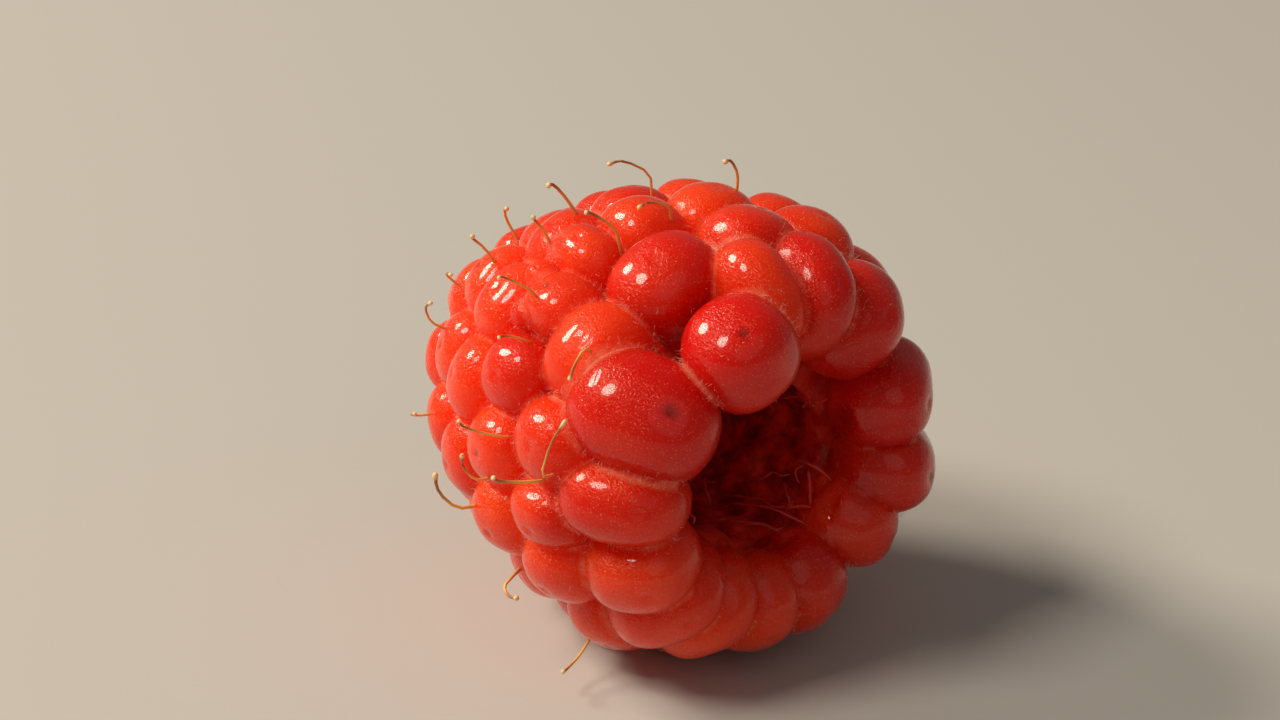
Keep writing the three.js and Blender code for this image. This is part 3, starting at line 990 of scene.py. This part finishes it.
def thread_finish(name, piece, colours, aged_colour, rough):
    """A thread's colours run from its root by its middle and its dry upper part to its tip."""
    root_colour, middle_colour, upper_colour, tip_colour = colours
    tree, shader = new_finish(name, piece)
    close = use_grain(tree, *THREAD_GRAIN)
    reach = attribute(tree, "reach")
    lower = mixed(tree, ranged(tree, reach, 0.1, 0.5, 0.0, 1.0), root_colour, middle_colour)
    upper = mixed(tree, ranged(tree, reach, 0.52, 0.78, 0.0, 1.0), lower, upper_colour)
    whole = mixed(tree, ranged(tree, reach, 0.88, 0.95, 0.0, 1.0), upper, tip_colour)
    aged = mixed(tree, sums(tree, "MULTIPLY", close.outputs["Cloud"], 0.35), whole, aged_colour)
    tree.links.new(aged, shader.inputs["Base Color"])
    tree.links.new(bumped(tree, close.outputs["Height"], 0.4, 0.00002), shader.inputs["Normal"])
    shader.inputs["Roughness"].default_value = rough
    shader.inputs["Subsurface Weight"].default_value = 0.3
    shader.inputs["Subsurface Radius"].default_value = (1.0, 0.6, 0.3)
    shader.inputs["Subsurface Scale"].default_value = 0.0003


skin_finish()
STYLE_COLOURS = [
    (0.62, 0.16, 0.03, 1),
    (0.88, 0.56, 0.14, 1),
    (0.34, 0.15, 0.045, 1),
    (0.88, 0.66, 0.34, 1),
]
FIBRE_COLOURS = [
    (0.46, 0.010, 0.006, 1),
    (0.70, 0.035, 0.018, 1),
    (0.74, 0.050, 0.025, 1),
    (0.76, 0.060, 0.030, 1),
]
thread_finish("dry_style", styles, STYLE_COLOURS, (0.42, 0.20, 0.05, 1), 0.4)
thread_finish("torn_fibre", fibres, FIBRE_COLOURS, (0.30, 0.006, 0.004, 1), 0.4)
down_shader = new_finish("pale_down", down)[1]
down_shader.inputs["Base Color"].default_value = (0.86, 0.50, 0.42, 1)
down_shader.inputs["Roughness"].default_value = 0.55

# ---- floor, light and camera
bare_hands()
bpy.ops.mesh.primitive_plane_add(size=2, location=(0, 0, 0))
floor = named("floor")
pale = bpy.data.materials.new("pale_floor")
pale.use_nodes = True
pale.node_tree.nodes["Principled BSDF"].inputs["Base Color"].default_value = (0.50, 0.48, 0.45, 1)
pale.node_tree.nodes["Principled BSDF"].inputs["Roughness"].default_value = 0.7
floor.data.materials.append(pale)

world = bpy.data.worlds.new("soft_room")
bpy.context.scene.world = world
world.use_nodes = True
world.node_tree.nodes["Background"].inputs["Color"].default_value = (1.0, 0.94, 0.86, 1)
world.node_tree.nodes["Background"].inputs["Strength"].default_value = 0.14

LIT_HEIGHT = 0.009  # above the origin: what the lamps look at


def soft_light(name, turn, rise, away, size, power, colour):
    """A round lamp that looks at the fruit from so many degrees round and up, and so far away."""
    level = math.cos(math.radians(rise))
    heading = Vector((math.cos(math.radians(turn)) * level, math.sin(math.radians(turn)) * level, 0))
    heading.z = math.sin(math.radians(rise))
    light = bpy.data.lights.new(name, "AREA")
    light.shape = "DISK"
    light.size = size
    light.energy = power
    light.color = colour
    lamp = bpy.data.objects.new(name, light)
    lamp.location = heading * away + Vector((0, 0, LIT_HEIGHT))
    lamp.rotation_euler = heading.to_track_quat("Z", "Y").to_euler()
    bpy.context.scene.collection.objects.link(lamp)
    return lamp


soft_light("key", -146, 40, 0.60, 0.19, 3.0, (1.0, 0.89, 0.73))
soft_light("second", -100, 52, 0.60, 0.18, 1.9, (1.0, 0.91, 0.78))
soft_light("fill", -20, 35, 0.70, 0.60, 0.35, (1.0, 0.94, 0.86))

CAMERA_TURN = math.radians(52)
CAMERA_RISE = math.radians(24)
CAMERA_AWAY = 0.155
AIM = Vector((-0.0002, 0, 0.0095))
FRAMING = (0.00118, 0.00236)  # how far the middle of the picture lies left of the aim, and above it
back = Vector(
    (
        math.sin(CAMERA_TURN) * math.cos(CAMERA_RISE),
        -math.cos(CAMERA_TURN) * math.cos(CAMERA_RISE),
        math.sin(CAMERA_RISE),
    )
)
right = Vector((math.cos(CAMERA_TURN), math.sin(CAMERA_TURN), 0))
up = back.cross(right)
lens = bpy.data.cameras.new("camera")
lens.lens = 100
lens.sensor_width = 36
lens.clip_start = 0.005
camera = bpy.data.objects.new("camera", lens)
camera.location = AIM + back * CAMERA_AWAY
middle = AIM - right * FRAMING[0] + up * FRAMING[1]
camera.rotation_euler = (middle - camera.location).to_track_quat("-Z", "Y").to_euler()
bpy.context.scene.collection.objects.link(camera)
bpy.context.scene.camera = camera

bpy.context.scene.view_settings.view_transform = "Standard"
